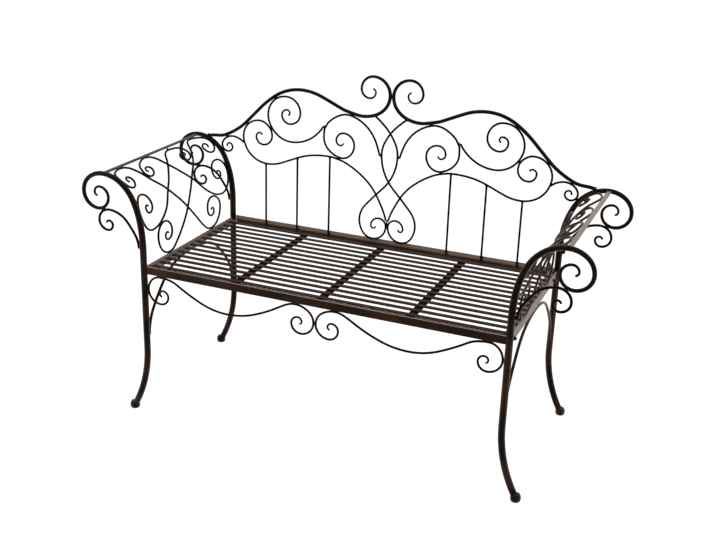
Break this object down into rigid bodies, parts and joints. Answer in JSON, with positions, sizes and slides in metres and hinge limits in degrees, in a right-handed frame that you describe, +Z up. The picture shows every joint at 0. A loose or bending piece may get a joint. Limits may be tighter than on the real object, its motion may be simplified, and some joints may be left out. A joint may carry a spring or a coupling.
{
  "type": "metal garden bench",
  "caption": "Forged metal garden bench with a slatted seat, a scrolled back panel, woven scroll arms and splayed legs on round feet.",
  "frame": {"origin": "on the floor, centred under the bounding box", "axes": "+X along the seat, to the right of a viewer who faces the bench; +Y from the front to the back; +Z up"},
  "size_m": [1.3602, 0.511, 0.9027],
  "materials": {
    "frame_metal": "satin powder coat on forged round bar",
    "scroll_metal": "satin powder coat on bent wire bar",
    "flat_metal": "satin powder coat on flat bar",
    "rim_metal": "satin powder coat on flat bar",
    "foot_metal": "satin powder coat on a round cap",
    "bolt_metal": "dark coated domed bolt and hex nut"
  },
  "bodies": {
    "root": {"leg_front_left": "frame_metal", "foot_front_left": "foot_metal", "brace_scroll_front_left": "frame_metal", "arm_low_scroll_front_left": "scroll_metal", "arm_high_scroll_front_left": "scroll_metal", "leg_rear_left": "frame_metal", "foot_rear_left": "foot_metal", "brace_scroll_rear_left": "frame_metal", "arm_low_scroll_rear_left": "scroll_metal", "arm_high_scroll_rear_left": "scroll_metal", "leg_front_right": "frame_metal", "foot_front_right": "foot_metal", "brace_scroll_front_right": "frame_metal", "arm_low_scroll_front_right": "scroll_metal", "arm_high_scroll_front_right": "scroll_metal", "leg_rear_right": "frame_metal", "foot_rear_right": "foot_metal", "brace_scroll_rear_right": "frame_metal", "arm_low_scroll_rear_right": "scroll_metal", "arm_high_scroll_rear_right": "scroll_metal", "arm_rail_left": "flat_metal", "side_rim_left": "flat_metal", "side_arch_left": "scroll_metal", "seat_ledge_left": "flat_metal", "top_rail_left": "frame_metal", "wave_scroll_left": "scroll_metal", "swag_scroll_left": "scroll_metal", "inner_scroll_left": "scroll_metal", "corner_scroll_left": "scroll_metal", "lens_scroll_left": "scroll_metal", "apron_scroll_left": "scroll_metal", "arm_rail_right": "flat_metal", "side_rim_right": "flat_metal", "side_arch_right": "scroll_metal", "seat_ledge_right": "flat_metal", "top_rail_right": "frame_metal", "wave_scroll_right": "scroll_metal", "swag_scroll_right": "scroll_metal", "inner_scroll_right": "scroll_metal", "corner_scroll_right": "scroll_metal", "lens_scroll_right": "scroll_metal", "apron_scroll_right": "scroll_metal", "spindle_1_left": "scroll_metal", "spindle_2_left": "scroll_metal", "spindle_3_left": "scroll_metal", "spindle_1_right": "scroll_metal", "spindle_2_right": "scroll_metal", "spindle_3_right": "scroll_metal", "seat_ledge_front": "flat_metal", "seat_ledge_rear": "flat_metal", "cross_flat_1": "flat_metal", "cross_flat_2": "flat_metal", "cross_flat_3": "flat_metal", "front_rim": "rim_metal", "rear_rim": "rim_metal", "seat_slats": "flat_metal", "seat_bolts": "bolt_metal", "seat_nuts": "bolt_metal"}
  },
  "joints": []
}
